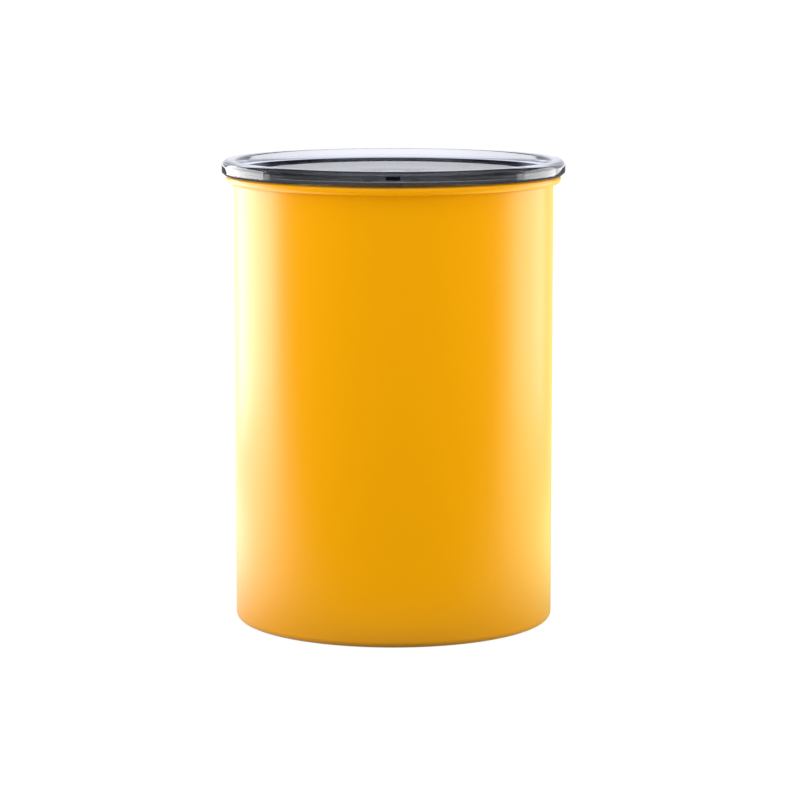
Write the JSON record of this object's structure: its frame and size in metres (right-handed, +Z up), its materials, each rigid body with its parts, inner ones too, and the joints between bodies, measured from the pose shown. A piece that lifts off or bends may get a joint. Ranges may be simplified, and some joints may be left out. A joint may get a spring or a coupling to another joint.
{
  "type": "coffee canister with valve",
  "caption": "Cylindrical painted steel coffee canister with a rolled rim, a clear press-on lid and an inner plunger lid whose swing handle opens an air valve.",
  "frame": {"origin": "centre of the standing ring of the base, on the table", "axes": "+Z up along the canister's axis, -Y towards the front of the picture, +X to the right"},
  "size_m": [0.1294, 0.1294, 0.1751],
  "materials": {
    "painted_steel": "satin golden yellow coat outside, bare brushed steel inside",
    "clear_plastic": "clear, slightly smoky, polished",
    "gasket_silicone": "matt charcoal",
    "black_plastic": "fine matt black",
    "handle_plastic": "satin dark grey",
    "seal_silicone": "milky silicone",
    "steel": "plain stainless"
  },
  "bodies": {
    "canister": {"canister_body": "painted_steel"},
    "outer_lid": {"outer_lid": "clear_plastic", "outer_lid_gasket": "gasket_silicone"},
    "plunger": {"plunger_dish": "black_plastic", "plunger_seal": "seal_silicone", "valve_housing": "black_plastic", "housing_screws": "steel", "valve_spring": "steel"},
    "handle": {"swing_handle": "handle_plastic"},
    "valve": {"valve_stem": "black_plastic", "valve_button": "handle_plastic", "valve_disc": "seal_silicone", "disc_retainer": "steel"}
  },
  "joints": [
    {"name": "outer_lid_lift", "type": "slide", "parent": "canister", "child": "outer_lid", "axis": [0, 0, 1], "range_m": [0, 0.07]},
    {"name": "plunger_slide", "type": "slide", "parent": "canister", "child": "plunger", "axis": [0, 0, 1], "range_m": [-0.1, 0]},
    {"name": "handle_fold", "type": "hinge", "parent": "plunger", "child": "handle", "pos_m": [0, 0, 0.1258], "axis": [1, 0, 0], "range_deg": [0, 90]},
    {"name": "valve_lift", "type": "slide", "parent": "plunger", "child": "valve", "axis": [0, 0, 1], "range_m": [0, 0.003], "deforming": ["valve_spring"]}
  ],
  "couplings": [
    {"joint": "valve_lift", "follows": "handle_fold", "m_per_rad": 0.0019098}
  ]
}
